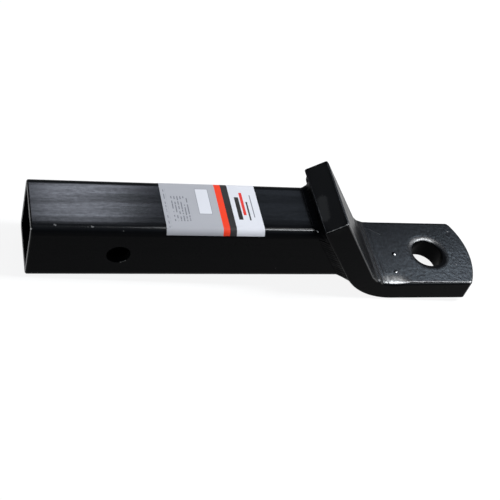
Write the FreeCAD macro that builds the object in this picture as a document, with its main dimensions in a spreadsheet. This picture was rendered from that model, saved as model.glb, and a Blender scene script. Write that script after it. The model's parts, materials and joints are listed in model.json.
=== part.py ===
import FreeCAD, Part
import os
from math import radians

import Sketcher
from FreeCAD import Placement, Rotation, Vector

# Ball mount: a square hollow shank, welded to a bent flat bar that carries the tow ball.
# Frame: the origin is the centre of the hitch pin hole, X runs along the shank towards the ball, Z is up.

# Driving dimensions, in millimetres and degrees
SIZES = (
    ("shank_width", 50.0, "outside width of the square shank"),
    ("shank_wall", 5.0, "wall of the shank"),
    ("shank_corner_radius", 6.0, "outside corner radius of the shank"),
    ("shank_inside_radius", 1.5, "inside corner radius of the shank"),
    ("shank_setback", 62.0, "open end of the shank to the pin hole"),
    ("shank_end_break", 0.8, "broken edge round the open end"),
    ("pin_hole_diameter", 17.0, "cross hole for the hitch pin"),
    ("hole_spacing", 260.0, "pin hole to ball hole"),
    ("bar_width", 65.0, "width of the flat bar"),
    ("bar_thickness", 19.0, "thickness of the flat bar"),
    ("bar_slope", 55.5, "slope of the bar's arm above the level"),
    ("bar_drop", 48.0, "top of the shank down to the top of the ball platform"),
    ("bar_edge_radius", 1.5, "rounding of the bar's edges"),
    ("arm_overhang", 10.7, "arm beyond the top of the shank, along its back face"),
    ("bend_inside_radius", 17.0, "inside radius of the bend"),
    ("bend_outside_radius", 55.0, "outside radius of the bend, where the bar has stretched thin"),
    ("bend_setback", 55.0, "ball hole back to the corner that the bend rounds off"),
    ("nose_reach", 38.0, "ball hole to the tip of the nose"),
    ("nose_radius", 62.0, "arc of the cropped nose"),
    ("nose_corner_radius", 3.0, "rounding where the nose meets the sides"),
    ("ball_hole_diameter", 26.0, "punched hole for the shank of the ball"),
    ("punch_dish_width", 5.5, "width of the rim that the punch drew down"),
    ("punch_dish_depth", 1.6, "depth of that rim at the hole"),
    ("ball_hole_edge_radius", 1.2, "rounding of the hole's edges"),
    ("weld_shank_leg", 9.5, "weld along the shank, before trimming"),
    ("weld_top_leg", 7.2, "top weld, up the arm"),
    ("weld_bottom_leg", 6.5, "bottom weld, down the arm"),
    ("weld_side_leg", 4.5, "side welds, out on the arm"),
    ("weld_waist_run", 3.5, "place of the weld's middle section, back from the arm"),
    ("weld_top_waist", 2.8, "top weld at its middle section"),
    ("weld_bottom_waist", 4.8, "bottom weld at its middle section"),
    ("weld_side_waist", 2.2, "side welds at their middle section"),
    ("weld_toe_bite", 0.3, "depth of the weld's toe below the skin of the shank, before trimming"),
    ("weld_root_reach", 8.0, "length of the weld behind the arm's face, before trimming"),
    ("label_start", 30.5, "pin hole to the label"),
    ("label_length", 72.0, "label along the shank"),
    ("label_thickness", 0.15, "thickness of the label"),
    ("label_near_wrap", 70.0, "angle of the left corner that the label covers"),
    ("label_far_drop", 9.0, "label down the right side, below the corner"),
)

# Places worked out from the driving dimensions
SHANK_HALF = "sizes.shank_width / 2"
SLOPE = "(sizes.bar_slope * 1 deg)"
BEND_X = "(sizes.hole_spacing - sizes.bend_setback)"
NOSE_X = "(sizes.hole_spacing + sizes.nose_reach)"
JOINT_TOP_X = f"({BEND_X} - sizes.bar_thickness / sin{SLOPE} - sizes.bar_drop / tan{SLOPE})"
JOINT_AXIS_X = f"({JOINT_TOP_X} + {SHANK_HALF} / tan{SLOPE})"
JOINT_BOTTOM_X = f"({JOINT_TOP_X} + sizes.shank_width / tan{SLOPE})"
CORNER_CENTRE = "(sizes.shank_width / 2 - sizes.shank_corner_radius)"

NEAR = 1e-4
ORIGIN_POINT = (-1, 1)
START, END, CENTRE = 1, 2, 3

doc = FreeCAD.newDocument("ball_mount")
sheet = doc.addObject("Spreadsheet::Sheet", "sizes")
for row, (alias, amount, meaning) in enumerate(SIZES, start=1):
    sheet.set(f"A{row}", meaning)
    sheet.set(f"B{row}", str(amount))
    sheet.setAlias(f"B{row}", alias)
doc.recompute()


def measure(expression):
    """Value of an expression on the sheet's sizes."""
    return float(sheet.evalExpression(expression))


def new_body(name):
    """Empty body whose label is the name of its piece."""
    body = doc.addObject("PartDesign::Body", name)
    body.Label = name
    return body


def new_sketch(body, name, role, turn=None, **shifts):
    """Sketch on one of the body's origin planes, turned about its own x and shifted by expressions."""
    plane = next(item for item in body.Origin.OriginFeatures if item.Role == role)
    sketch = body.newObject("Sketcher::SketchObject", name)
    sketch.AttachmentSupport = [(plane, "")]
    sketch.MapMode = "FlatFace"
    if turn:
        sketch.AttachmentOffset = Placement(Vector(), Rotation(Vector(1, 0, 0), measure(turn)))
        sketch.setExpression("AttachmentOffset.Rotation.Angle", turn)
    for axis, expression in shifts.items():
        sketch.setExpression(f"AttachmentOffset.Base.{axis}", expression)
    return sketch


def tie(sketch, kind, *references):
    """Geometric constraint."""
    sketch.addConstraint(Sketcher.Constraint(kind, *references))


def size(sketch, kind, *references, to):
    """Dimension bound to an expression; angles are in degrees."""
    value = measure(to)
    if kind == "Angle":
        value = radians(value)
    index = sketch.addConstraint(Sketcher.Constraint(kind, *references, value))
    sketch.setExpression(f"Constraints[{index}]", to)


def line(sketch, start, end):
    """Straight edge; gives its number in the sketch."""
    return sketch.addGeometry(Part.LineSegment(Vector(*start), Vector(*end)))


def arc(sketch, centre, radius, first, last):
    """Arc that runs anticlockwise between two angles in degrees; gives its number in the sketch."""
    circle = Part.Circle(Vector(*centre), Vector(0, 0, 1), radius)
    return sketch.addGeometry(Part.ArcOfCircle(circle, radians(first), radians(last)))


def rounded_outline(sketch, half_width, above, below, radius):
    """Closed rectangle with round corners, measured from the sketch's origin."""
    w, a, b, r = (measure(text) for text in (half_width, above, below, radius))
    bottom = line(sketch, (r - w, -b), (w - r, -b))
    first_arc = arc(sketch, (w - r, r - b), r, -90, 0)
    right = line(sketch, (w, r - b), (w, a - r))
    second_arc = arc(sketch, (w - r, a - r), r, 0, 90)
    top = line(sketch, (w - r, a), (r - w, a))
    third_arc = arc(sketch, (r - w, a - r), r, 90, 180)
    left = line(sketch, (-w, a - r), (-w, r - b))
    fourth_arc = arc(sketch, (r - w, r - b), r, 180, 270)
    loop = (bottom, first_arc, right, second_arc, top, third_arc, left, fourth_arc)
    for edge, following in zip(loop, loop[1:] + loop[:1]):
        tie(sketch, "Tangent", edge, END, following, START)
    for edge in (bottom, top):
        tie(sketch, "Horizontal", edge)
    for edge in (left, right):
        tie(sketch, "Vertical", edge)
    for corner in (second_arc, third_arc, fourth_arc):
        tie(sketch, "Equal", first_arc, corner)
    size(sketch, "Radius", first_arc, to=radius)
    size(sketch, "DistanceX", *ORIGIN_POINT, right, START, to=half_width)
    size(sketch, "DistanceX", left, START, *ORIGIN_POINT, to=half_width)
    size(sketch, "DistanceY", *ORIGIN_POINT, top, START, to=above)
    size(sketch, "DistanceY", bottom, START, *ORIGIN_POINT, to=below)


def pad(body, name, sketch, length, symmetric=False):
    """Solid pushed out of a sketch."""
    feature = body.newObject("PartDesign::Pad", name)
    feature.Profile = sketch
    feature.SideType = "Symmetric" if symmetric else "One side"
    feature.setExpression("Length", length)
    doc.recompute()
    return feature


def cut_through(body, name, sketch):
    """Cut both ways through the body along the sketch's normal."""
    before = body.Shape.Volume
    feature = body.newObject("PartDesign::Pocket", name)
    feature.Profile = sketch
    feature.Type = "ThroughAll"
    feature.SideType = "Symmetric"
    doc.recompute()
    require_less(name, body.Shape.Volume, before)
    return feature


def require_less(name, volume, before):
    """Stop if a cut took nothing away."""
    if volume > before - NEAR:
        raise RuntimeError(f"{name} cuts nothing")


def edge_names(shape, test):
    """Names of the edges that pass a test."""
    return [f"Edge{number}" for number, edge in enumerate(shape.Edges, start=1) if test(edge)]


def ease_edges(body, name, kind, length, expression, test):
    """Fillet or chamfer on the edges of the body that pass a test."""
    base = body.Tip
    feature = body.newObject(f"PartDesign::{kind}", name)
    feature.Base = (base, edge_names(base.Shape, test))
    feature.setExpression(length, expression)
    doc.recompute()
    return feature


def same(one, other):
    """Whether two lengths agree."""
    return abs(one - other) < NEAR


def make_shank_tube():
    """Square tube, mitred to the back of the bar, with the cross hole for the hitch pin."""
    body = new_body("shank_tube")
    section = new_sketch(body, "shank_section", "YZ_Plane", z="-sizes.shank_setback")
    rounded_outline(section, SHANK_HALF, SHANK_HALF, SHANK_HALF, "sizes.shank_corner_radius")
    inside_half = "sizes.shank_width / 2 - sizes.shank_wall"
    rounded_outline(section, inside_half, inside_half, inside_half, "sizes.shank_inside_radius")
    pad(body, "shank_length", section, f"sizes.shank_setback + {JOINT_BOTTOM_X}")

    # Mitre: a right triangle whose long side is the back face of the arm
    margin = "sizes.shank_corner_radius"
    depth = f"sizes.shank_width + {margin}"
    mitre = new_sketch(body, "shank_mitre", "XZ_Plane", y=SHANK_HALF)
    upper = (measure(f"{JOINT_TOP_X} - {margin} / tan{SLOPE}"), measure(margin))
    lower = (measure(f"{JOINT_TOP_X} + ({depth}) / tan{SLOPE}"), -measure(depth))
    corner = (lower[0], upper[1])
    slant = line(mitre, lower, upper)
    level = line(mitre, upper, corner)
    upright = line(mitre, corner, lower)
    for edge, following in ((slant, level), (level, upright), (upright, slant)):
        tie(mitre, "Coincident", edge, END, following, START)
    tie(mitre, "Horizontal", level)
    tie(mitre, "Vertical", upright)
    size(mitre, "DistanceX", *ORIGIN_POINT, slant, END, to=f"{JOINT_TOP_X} - {margin} / tan{SLOPE}")
    size(mitre, "DistanceY", *ORIGIN_POINT, slant, END, to=margin)
    size(mitre, "DistanceY", slant, START, *ORIGIN_POINT, to=depth)
    size(mitre, "Angle", slant, to="180 - sizes.bar_slope")
    cut_through(body, "shank_mitre_cut", mitre)

    pin_hole = new_sketch(body, "pin_hole", "XZ_Plane")
    radius = "sizes.pin_hole_diameter / 2"
    circle = pin_hole.addGeometry(Part.Circle(Vector(), Vector(0, 0, 1), measure(radius)))
    tie(pin_hole, "Coincident", circle, CENTRE, *ORIGIN_POINT)
    size(pin_hole, "Radius", circle, to=radius)
    cut_through(body, "pin_hole_cut", pin_hole)

    open_end = -measure("sizes.shank_setback")
    inside = measure(inside_half)

    def on_outer_rim(edge):
        box = edge.BoundBox
        outside = max(abs(box.YMin), abs(box.YMax), abs(box.ZMin), abs(box.ZMax)) > inside + NEAR
        return same(box.XMin, open_end) and same(box.XMax, open_end) and outside

    ease_edges(body, "shank_end_edge", "Chamfer", "Size", "sizes.shank_end_break", on_outer_rim)
    return body


def draw_bar_profile(profile):
    """Side view of the bent bar, drawn from the level of the shank's top."""
    slope, thick, drop = (measure(f"sizes.{name}") for name in ("bar_slope", "bar_thickness", "bar_drop"))
    inside, outside = (measure(f"sizes.bend_{side}_radius") for side in ("inside", "outside"))
    bend, nose = measure(BEND_X), measure(NOSE_X)
    sine, cosine = measure(f"sin{SLOPE}"), measure(f"cos{SLOPE}")
    half_turn = measure(f"tan({SLOPE} / 2)")
    rise = measure(f"sizes.arm_overhang * sin{SLOPE}")
    back_top = (measure(f"{JOINT_TOP_X} - sizes.arm_overhang * cos{SLOPE}"), rise)
    front_top = (back_top[0] + thick * sine, back_top[1] + thick * cosine)
    outer_x = bend - thick * half_turn
    floor = -drop - thick
    outer_leg, inner_leg = outside * half_turn, inside * half_turn
    outer_centre = (outer_x + outer_leg, floor + outside)
    inner_centre = (bend + inner_leg, inside - drop)
    outer_start = (outer_x - outer_leg * cosine, floor + outer_leg * sine)
    inner_start = (bend - inner_leg * cosine, inner_leg * sine - drop)
    turn_start = 270 - slope

    back = line(profile, back_top, outer_start)
    outer_bend = arc(profile, outer_centre, outside, turn_start, 270)
    underside = line(profile, (outer_centre[0], floor), (nose, floor))
    tip = line(profile, (nose, floor), (nose, -drop))
    platform = line(profile, (nose, -drop), (inner_centre[0], -drop))
    inner_bend = arc(profile, inner_centre, inside, turn_start, 270)
    front = line(profile, inner_start, front_top)
    sheared = line(profile, front_top, back_top)
    bend_corner = profile.addGeometry(Part.Point(Vector(bend, -drop, 0)), True)

    tie(profile, "Tangent", back, END, outer_bend, START)
    tie(profile, "Tangent", outer_bend, END, underside, START)
    tie(profile, "Coincident", underside, END, tip, START)
    tie(profile, "Coincident", tip, END, platform, START)
    tie(profile, "Tangent", platform, END, inner_bend, END)
    tie(profile, "Tangent", inner_bend, START, front, START)
    tie(profile, "Coincident", front, END, sheared, START)
    tie(profile, "Coincident", sheared, END, back, START)
    tie(profile, "Horizontal", underside)
    tie(profile, "Horizontal", platform)
    tie(profile, "Vertical", tip)
    tie(profile, "Perpendicular", front, sheared)
    tie(profile, "Parallel", front, back)
    tie(profile, "PointOnObject", bend_corner, START, platform)
    tie(profile, "PointOnObject", bend_corner, START, front)
    size(profile, "DistanceX", *ORIGIN_POINT, bend_corner, START, to=BEND_X)
    size(profile, "DistanceX", *ORIGIN_POINT, tip, START, to=NOSE_X)
    size(profile, "DistanceY", tip, END, *ORIGIN_POINT, to="sizes.bar_drop")
    size(profile, "Distance", tip, to="sizes.bar_thickness")
    size(profile, "Distance", sheared, to="sizes.bar_thickness")
    size(profile, "DistanceY", *ORIGIN_POINT, back, START, to=f"sizes.arm_overhang * sin{SLOPE}")
    size(profile, "Angle", front, to="180 - sizes.bar_slope")
    size(profile, "Radius", inner_bend, to="sizes.bend_inside_radius")
    size(profile, "Radius", outer_bend, to="sizes.bend_outside_radius")


def draw_nose_cut(sketch):
    """Plan view of what the crop takes off beyond the arc of the nose."""
    centre_x = f"{NOSE_X} - sizes.nose_radius"
    half = "sizes.bar_width / 2 + sizes.nose_corner_radius"
    far_x = f"{NOSE_X} + sizes.nose_corner_radius"
    radius, middle, side, far = (measure(text) for text in ("sizes.nose_radius", centre_x, half, far_x))
    reach = measure(f"asin(({half}) / sizes.nose_radius)")
    edge_x = middle + measure(f"sqrt(sizes.nose_radius ^ 2 - ({half}) ^ 2)")
    nose = arc(sketch, (middle, 0), radius, -reach, reach)
    upper = line(sketch, (edge_x, side), (far, side))
    outer = line(sketch, (far, side), (far, -side))
    lower = line(sketch, (far, -side), (edge_x, -side))
    for edge, following in ((nose, upper), (upper, outer), (outer, lower), (lower, nose)):
        tie(sketch, "Coincident", edge, END, following, START)
    tie(sketch, "Horizontal", upper)
    tie(sketch, "Horizontal", lower)
    tie(sketch, "Vertical", outer)
    tie(sketch, "PointOnObject", nose, CENTRE, -1)
    size(sketch, "Radius", nose, to="sizes.nose_radius")
    size(sketch, "DistanceX", *ORIGIN_POINT, nose, CENTRE, to=centre_x)
    size(sketch, "DistanceX", *ORIGIN_POINT, outer, START, to=far_x)
    size(sketch, "DistanceY", *ORIGIN_POINT, outer, START, to=half)
    size(sketch, "DistanceY", outer, END, *ORIGIN_POINT, to=half)


def draw_punch_dish(sketch):
    """Half section of the rim that the punch drew down, from the hole's axis out to the flat platform."""
    hole = "sizes.ball_hole_diameter / 2"
    rim = f"{hole} + sizes.punch_dish_width"
    radius = "(sizes.punch_dish_width ^ 2 + sizes.punch_dish_depth ^ 2) / (2 * sizes.punch_dish_depth)"
    hole_r, rim_r, bow = (measure(text) for text in (hole, rim, radius))
    depth = measure("sizes.punch_dish_depth")
    sweep = measure("asin(sizes.punch_dish_width / (" + radius + "))")
    dish = arc(sketch, (rim_r, -bow), bow, 90, 90 + sweep)
    floor = line(sketch, (hole_r, -depth), (0, -depth))
    axis = line(sketch, (0, -depth), (0, 0))
    level = line(sketch, (0, 0), (rim_r, 0))
    for edge, following in ((dish, floor), (floor, axis), (axis, level)):
        tie(sketch, "Coincident", edge, END, following, START)
    tie(sketch, "Tangent", level, END, dish, START)
    tie(sketch, "Horizontal", floor)
    tie(sketch, "Horizontal", level)
    tie(sketch, "Vertical", axis)
    tie(sketch, "Coincident", level, START, *ORIGIN_POINT)
    size(sketch, "DistanceX", *ORIGIN_POINT, level, END, to=rim)
    size(sketch, "Distance", axis, to="sizes.punch_dish_depth")
    size(sketch, "Distance", floor, to=hole)
    return axis


def make_tongue_bar():
    """Flat bar, bent once, cropped to an arc at the nose and punched for the ball."""
    body = new_body("tongue_bar")
    profile = new_sketch(body, "bar_profile", "XZ_Plane", y=SHANK_HALF)
    draw_bar_profile(profile)
    pad(body, "bar_blank", profile, "sizes.bar_width", symmetric=True)

    nose_cut = new_sketch(body, "nose_crop", "XY_Plane")
    draw_nose_cut(nose_cut)
    cut_through(body, "nose_crop_cut", nose_cut)

    half = measure("sizes.bar_width / 2")
    ball_x = measure("sizes.hole_spacing")
    platform_level = "sizes.shank_width / 2 - sizes.bar_drop"
    top = measure(platform_level)
    underside = top - measure("sizes.bar_thickness")
    arm_end = measure(f"{SHANK_HALF} + sizes.arm_overhang * sin{SLOPE}")

    def on_nose_corner(edge):
        box = edge.BoundBox
        upright = same(box.XMin, box.XMax) and same(box.YMin, box.YMax)
        return upright and same(abs(box.YMin), half) and box.XMin > ball_x

    def on_outline(edge):
        box = edge.BoundBox
        beside = same(box.YMin, box.YMax) and same(abs(box.YMin), half)
        level = same(box.ZMin, box.ZMax)
        across_nose = level and box.XMin > ball_x and (same(box.ZMin, top) or same(box.ZMin, underside))
        upright = same(box.XMin, box.XMax) and not level
        across_end = level and box.ZMin > arm_end - NEAR
        return (beside and not upright) or across_nose or across_end

    ease_edges(body, "nose_corners", "Fillet", "Radius", "sizes.nose_corner_radius", on_nose_corner)
    ease_edges(body, "bar_edges", "Fillet", "Radius", "sizes.bar_edge_radius", on_outline)

    ball_hole = new_sketch(body, "ball_hole", "XY_Plane")
    radius = "sizes.ball_hole_diameter / 2"
    circle = ball_hole.addGeometry(Part.Circle(Vector(ball_x, 0, 0), Vector(0, 0, 1), measure(radius)))
    tie(ball_hole, "PointOnObject", circle, CENTRE, -1)
    size(ball_hole, "DistanceX", *ORIGIN_POINT, circle, CENTRE, to="sizes.hole_spacing")
    size(ball_hole, "Radius", circle, to=radius)
    cut_through(body, "ball_hole_cut", ball_hole)

    dish = new_sketch(body, "punch_dish", "XZ_Plane", x="sizes.hole_spacing", y=platform_level)
    axis = draw_punch_dish(dish)
    before = body.Shape.Volume
    groove = body.newObject("PartDesign::Groove", "punch_dish_cut")
    groove.Profile = dish
    groove.ReferenceAxis = (dish, [f"Edge{axis + 1}"])
    doc.recompute()
    require_less("punch_dish_cut", body.Shape.Volume, before)

    hole_radius = measure(radius)

    def on_hole_edge(edge):
        box = edge.BoundBox
        around = same(box.XMax, ball_x + hole_radius) and same(box.YMax, hole_radius)
        return around and same(box.ZMin, box.ZMax)

    ease_edges(body, "ball_hole_edges", "Fillet", "Radius", "sizes.ball_hole_edge_radius", on_hole_edge)
    return body


def make_weld_ring(tongue_bar):
    """Weld metal all round the joint, trimmed to the shank and to the back of the bar."""
    body = new_body("weld_ring")
    section_half = f"{SHANK_HALF} / sin{SLOPE}"
    corner = f"sizes.shank_corner_radius / sin{SLOPE}"
    bite = "(0 - sizes.weld_toe_bite)"
    legs = ("sizes.weld_side_leg", "sizes.weld_top_leg", "sizes.weld_bottom_leg")
    waists = ("sizes.weld_side_waist", "sizes.weld_top_waist", "sizes.weld_bottom_waist")
    stations = (
        ("weld_root", "(0 - sizes.weld_root_reach)", legs),
        ("weld_face", "0", legs),
        ("weld_waist", "sizes.weld_waist_run", waists),
        ("weld_toe", "sizes.weld_shank_leg", (bite, bite, bite)),
    )
    sections = []
    for name, run, (side, above, below) in stations:
        section = new_sketch(body, name, "YZ_Plane", turn="sizes.bar_slope - 90", z=f"{JOINT_AXIS_X} - {run}")
        rounded_outline(
            section, f"{SHANK_HALF} + {side}", f"{section_half} + {above}", f"{section_half} + {below}",
            f"{corner} + {side}",
        )
        sections.append(section)
    doc.recompute()
    ring = body.newObject("PartDesign::AdditiveLoft", "weld_loft")
    ring.Profile = sections[0]
    ring.Sections = sections[1:]
    ring.Ruled = True
    doc.recompute()

    shank = new_sketch(body, "weld_shank", "YZ_Plane")
    rounded_outline(shank, SHANK_HALF, SHANK_HALF, SHANK_HALF, "sizes.shank_corner_radius")
    cut_through(body, "weld_shank_cut", shank)

    trimmed = doc.addObject("Part::Cut", "weld_trimmed")
    trimmed.Base = body
    trimmed.Tool = tongue_bar
    doc.recompute()
    return trimmed


def make_weld_run(name, ring, across, upwards):
    """One run of the weld: the stretch of the ring inside a block given by its Y and Z limits."""
    reach = "(sizes.weld_shank_leg + sizes.weld_root_reach + sizes.shank_width)"
    block = doc.addObject("Part::Box", f"{name}_block")
    block.setExpression("Length", f"2 * {reach}")
    block.setExpression("Placement.Base.x", f"{JOINT_AXIS_X} - {reach}")
    for length, axis, (low, high) in (("Width", "y", across), ("Height", "z", upwards)):
        block.setExpression(length, f"({high}) - ({low})")
        block.setExpression(f"Placement.Base.{axis}", low)
    run = doc.addObject("Part::Common", name)
    run.Label = name
    run.Base = ring
    run.Tool = block
    doc.recompute()
    return run


def make_weld_runs(tongue_bar):
    """Four runs: over the top, under the bottom and down each side, which meet where the corners end."""
    ring = make_weld_ring(tongue_bar)
    outside = "sizes.shank_width"
    full = (f"0 - {outside}", outside)
    corner_level = CORNER_CENTRE
    side_level = (f"0 - {corner_level}", corner_level)
    return [
        make_weld_run("top_weld", ring, full, (corner_level, outside)),
        make_weld_run("bottom_weld", ring, full, (f"0 - {outside}", f"0 - {corner_level}")),
        make_weld_run("left_weld", ring, (f"0 - {outside}", "0"), side_level),
        make_weld_run("right_weld", ring, ("0", outside), side_level),
    ]


def make_shank_label():
    """Sheet label that lies on the shank's top and goes round both upper corners."""
    body = new_body("shank_label")
    band = new_sketch(body, "label_band", "YZ_Plane", z="sizes.label_start")
    centre, radius = measure(CORNER_CENTRE), measure("sizes.shank_corner_radius")
    outer = radius + measure("sizes.label_thickness")
    drop, wrap = measure("sizes.label_far_drop"), measure("sizes.label_near_wrap")
    near_end = 90 + wrap

    outer_side = line(band, (centre + outer, centre - drop), (centre + outer, centre))
    outer_far = arc(band, (centre, centre), outer, 0, 90)
    outer_top = line(band, (centre, centre + outer), (-centre, centre + outer))
    outer_near = arc(band, (-centre, centre), outer, 90, near_end)
    inner_near = arc(band, (-centre, centre), radius, 90, near_end)
    near_edge = line(band, *(tuple(band.getPoint(edge, END))[:2] for edge in (outer_near, inner_near)))
    inner_top = line(band, (-centre, centre + radius), (centre, centre + radius))
    inner_far = arc(band, (centre, centre), radius, 0, 90)
    inner_side = line(band, (centre + radius, centre), (centre + radius, centre - drop))
    far_edge = line(band, (centre + radius, centre - drop), (centre + outer, centre - drop))

    tie(band, "Tangent", outer_side, END, outer_far, START)
    tie(band, "Tangent", outer_far, END, outer_top, START)
    tie(band, "Tangent", outer_top, END, outer_near, START)
    tie(band, "Coincident", outer_near, END, near_edge, START)
    tie(band, "Coincident", near_edge, END, inner_near, END)
    tie(band, "Tangent", inner_near, START, inner_top, START)
    tie(band, "Tangent", inner_top, END, inner_far, END)
    tie(band, "Tangent", inner_far, START, inner_side, START)
    tie(band, "Coincident", inner_side, END, far_edge, START)
    tie(band, "Coincident", far_edge, END, outer_side, START)
    tie(band, "Coincident", inner_near, CENTRE, outer_near, CENTRE)
    tie(band, "Coincident", inner_far, CENTRE, outer_far, CENTRE)
    tie(band, "Equal", inner_near, inner_far)
    tie(band, "Vertical", outer_side)
    tie(band, "Vertical", inner_side)
    tie(band, "Horizontal", outer_top)
    tie(band, "Horizontal", inner_top)
    tie(band, "PointOnObject", inner_near, CENTRE, near_edge)
    tie(band, "Horizontal", far_edge)
    size(band, "Radius", inner_far, to="sizes.shank_corner_radius")
    size(band, "Distance", far_edge, to="sizes.label_thickness")
    size(band, "DistanceX", *ORIGIN_POINT, inner_far, CENTRE, to=CORNER_CENTRE)
    size(band, "DistanceY", *ORIGIN_POINT, inner_far, CENTRE, to=CORNER_CENTRE)
    size(band, "DistanceX", inner_near, CENTRE, *ORIGIN_POINT, to=CORNER_CENTRE)
    size(band, "Distance", inner_side, to="sizes.label_far_drop")
    size(band, "Angle", near_edge, to="sizes.label_near_wrap - 90")
    pad(body, "label_sheet", band, "sizes.label_length")
    return body


def check_and_write(pieces):
    """Stop on any failed object or bad solid, then write one file for each piece."""
    for item in doc.Objects:
        if "Invalid" in item.State or "Error" in item.State:
            raise RuntimeError(f"{item.Name} failed: {item.State}")
    for piece in pieces:
        shape = piece.Shape
        if shape.isNull() or not shape.isValid() or len(shape.Solids) != 1:
            raise RuntimeError(f"{piece.Label} is not one sound solid")
    os.makedirs("parts", exist_ok=True)
    for piece in pieces:
        piece.Shape.exportStep(f"parts/{piece.Label}.step")
        print(f"{piece.Label}: {piece.Shape.Volume:.1f} mm3")


shank_tube = make_shank_tube()
tongue_bar = make_tongue_bar()
weld_runs = make_weld_runs(tongue_bar)
shank_label = make_shank_label()
check_and_write([shank_tube, tongue_bar, *weld_runs, shank_label])
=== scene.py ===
"""Looks of a drop ball mount: black paint, rippled welds, a printed sheet label and a plain studio."""

from __future__ import annotations

import json
import logging
import math
from collections.abc import Iterable, Sequence
from dataclasses import dataclass, field
from enum import Enum
from itertools import pairwise

import bmesh
import bpy
from mathutils import Matrix, Quaternion, Vector, noise


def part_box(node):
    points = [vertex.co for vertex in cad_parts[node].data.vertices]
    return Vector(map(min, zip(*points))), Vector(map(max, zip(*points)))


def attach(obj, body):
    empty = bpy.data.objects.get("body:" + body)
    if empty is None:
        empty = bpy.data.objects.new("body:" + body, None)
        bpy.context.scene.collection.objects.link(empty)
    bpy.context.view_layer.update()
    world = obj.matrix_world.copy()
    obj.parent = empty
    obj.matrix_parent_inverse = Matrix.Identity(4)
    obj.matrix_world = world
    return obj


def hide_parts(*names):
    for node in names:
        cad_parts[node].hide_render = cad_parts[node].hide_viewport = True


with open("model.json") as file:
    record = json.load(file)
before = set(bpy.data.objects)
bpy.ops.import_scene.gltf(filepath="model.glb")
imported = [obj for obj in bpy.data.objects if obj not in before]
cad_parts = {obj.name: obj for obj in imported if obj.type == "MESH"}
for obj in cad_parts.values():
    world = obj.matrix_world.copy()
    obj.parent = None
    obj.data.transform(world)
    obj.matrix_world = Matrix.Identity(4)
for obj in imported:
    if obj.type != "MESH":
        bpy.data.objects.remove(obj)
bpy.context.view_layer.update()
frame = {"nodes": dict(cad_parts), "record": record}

MM = 0.001
BODY = "root"

Point = tuple[float, float, float]
Colour = tuple[float, float, float, float]
Span = tuple[float, float]
Socket = bpy.types.NodeSocket
Sockets = bpy.types.bpy_prop_collection
Shape = bmesh.types.BMesh
Feed = Socket | float | Point | Colour

log = logging.getLogger("ball_mount")


class Slot(str, Enum):
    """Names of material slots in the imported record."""

    PAINT = "black_paint"
    WELD = "weld_paint"


class SocketKind(str, Enum):
    """Kinds of socket on the shared shader groups."""

    VECTOR = "NodeSocketVector"
    VALUE = "NodeSocketFloat"


# Driving sizes of the mount that its boxes and mounts don't give
BAR_SLOPE = math.radians(55.5)
BEND_SETBACK = 55.0 * MM
BEND_RADIUS = 17.0 * MM
ARM_OVERHANG = 10.7 * MM
BAR_EDGE_RADIUS = 1.5 * MM
SHANK_CORNER = 6.0 * MM
SHANK_WALL = 5.0 * MM

# Fineness of the mesh work, and the angles in degrees past which an edge stays sharp
MERGE_GAP = 0.002 * MM
CUT_GAP = 0.005 * MM
BAR_SHARP = 35.0
BEAD_SHARP = 60.0


@dataclass(frozen=True)
class MountPlaces:
    """Places that several pieces share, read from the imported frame."""

    shank_half: float
    open_end: float
    joint_axis: float
    hole_x: float
    platform: float
    bar_half: float
    bar_thickness: float

    @classmethod
    def from_frame(cls) -> MountPlaces:
        """Read the boxes of the two steel pieces and the mounts on the platform.

        Returns:
            The places, in metres.
        """
        shank_low, shank_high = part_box("shank_tube")
        bar_low, bar_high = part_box("tongue_bar")
        mounts = {mount["name"]: mount for mount in frame["record"]["mounts"]}
        platform = mounts["ball_seat"]["pos_m"][2]
        half = shank_high.y
        return cls(
            shank_half=half,
            open_end=shank_low.x,
            joint_axis=shank_high.x - half / math.tan(BAR_SLOPE),
            hole_x=mounts["ball_hole"]["pos_m"][0],
            platform=platform,
            bar_half=bar_high.y,
            bar_thickness=platform - bar_low.z,
        )

    @property
    def bend_centre(self) -> Vector:
        """Centre of the inside of the bend, on the middle plane."""
        leg = BEND_RADIUS * math.tan(BAR_SLOPE / 2)
        return Vector((self.hole_x - BEND_SETBACK + leg, 0.0, self.platform + BEND_RADIUS))

    @property
    def back_normal(self) -> Vector:
        """Direction that the arm's back face looks in, towards the shank."""
        return Vector((-math.sin(BAR_SLOPE), 0.0, -math.cos(BAR_SLOPE)))

    @property
    def arm_up(self) -> Vector:
        """Direction up the arm."""
        return Vector((-math.cos(BAR_SLOPE), 0.0, math.sin(BAR_SLOPE)))

    @property
    def arm_end(self) -> Vector:
        """Top of the arm's back face, on the middle plane."""
        joint_top = Vector((self.joint_axis - self.shank_half / math.tan(BAR_SLOPE), 0.0, self.shank_half))
        return joint_top + self.arm_up * ARM_OVERHANG


PLACES = MountPlaces.from_frame()


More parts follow.
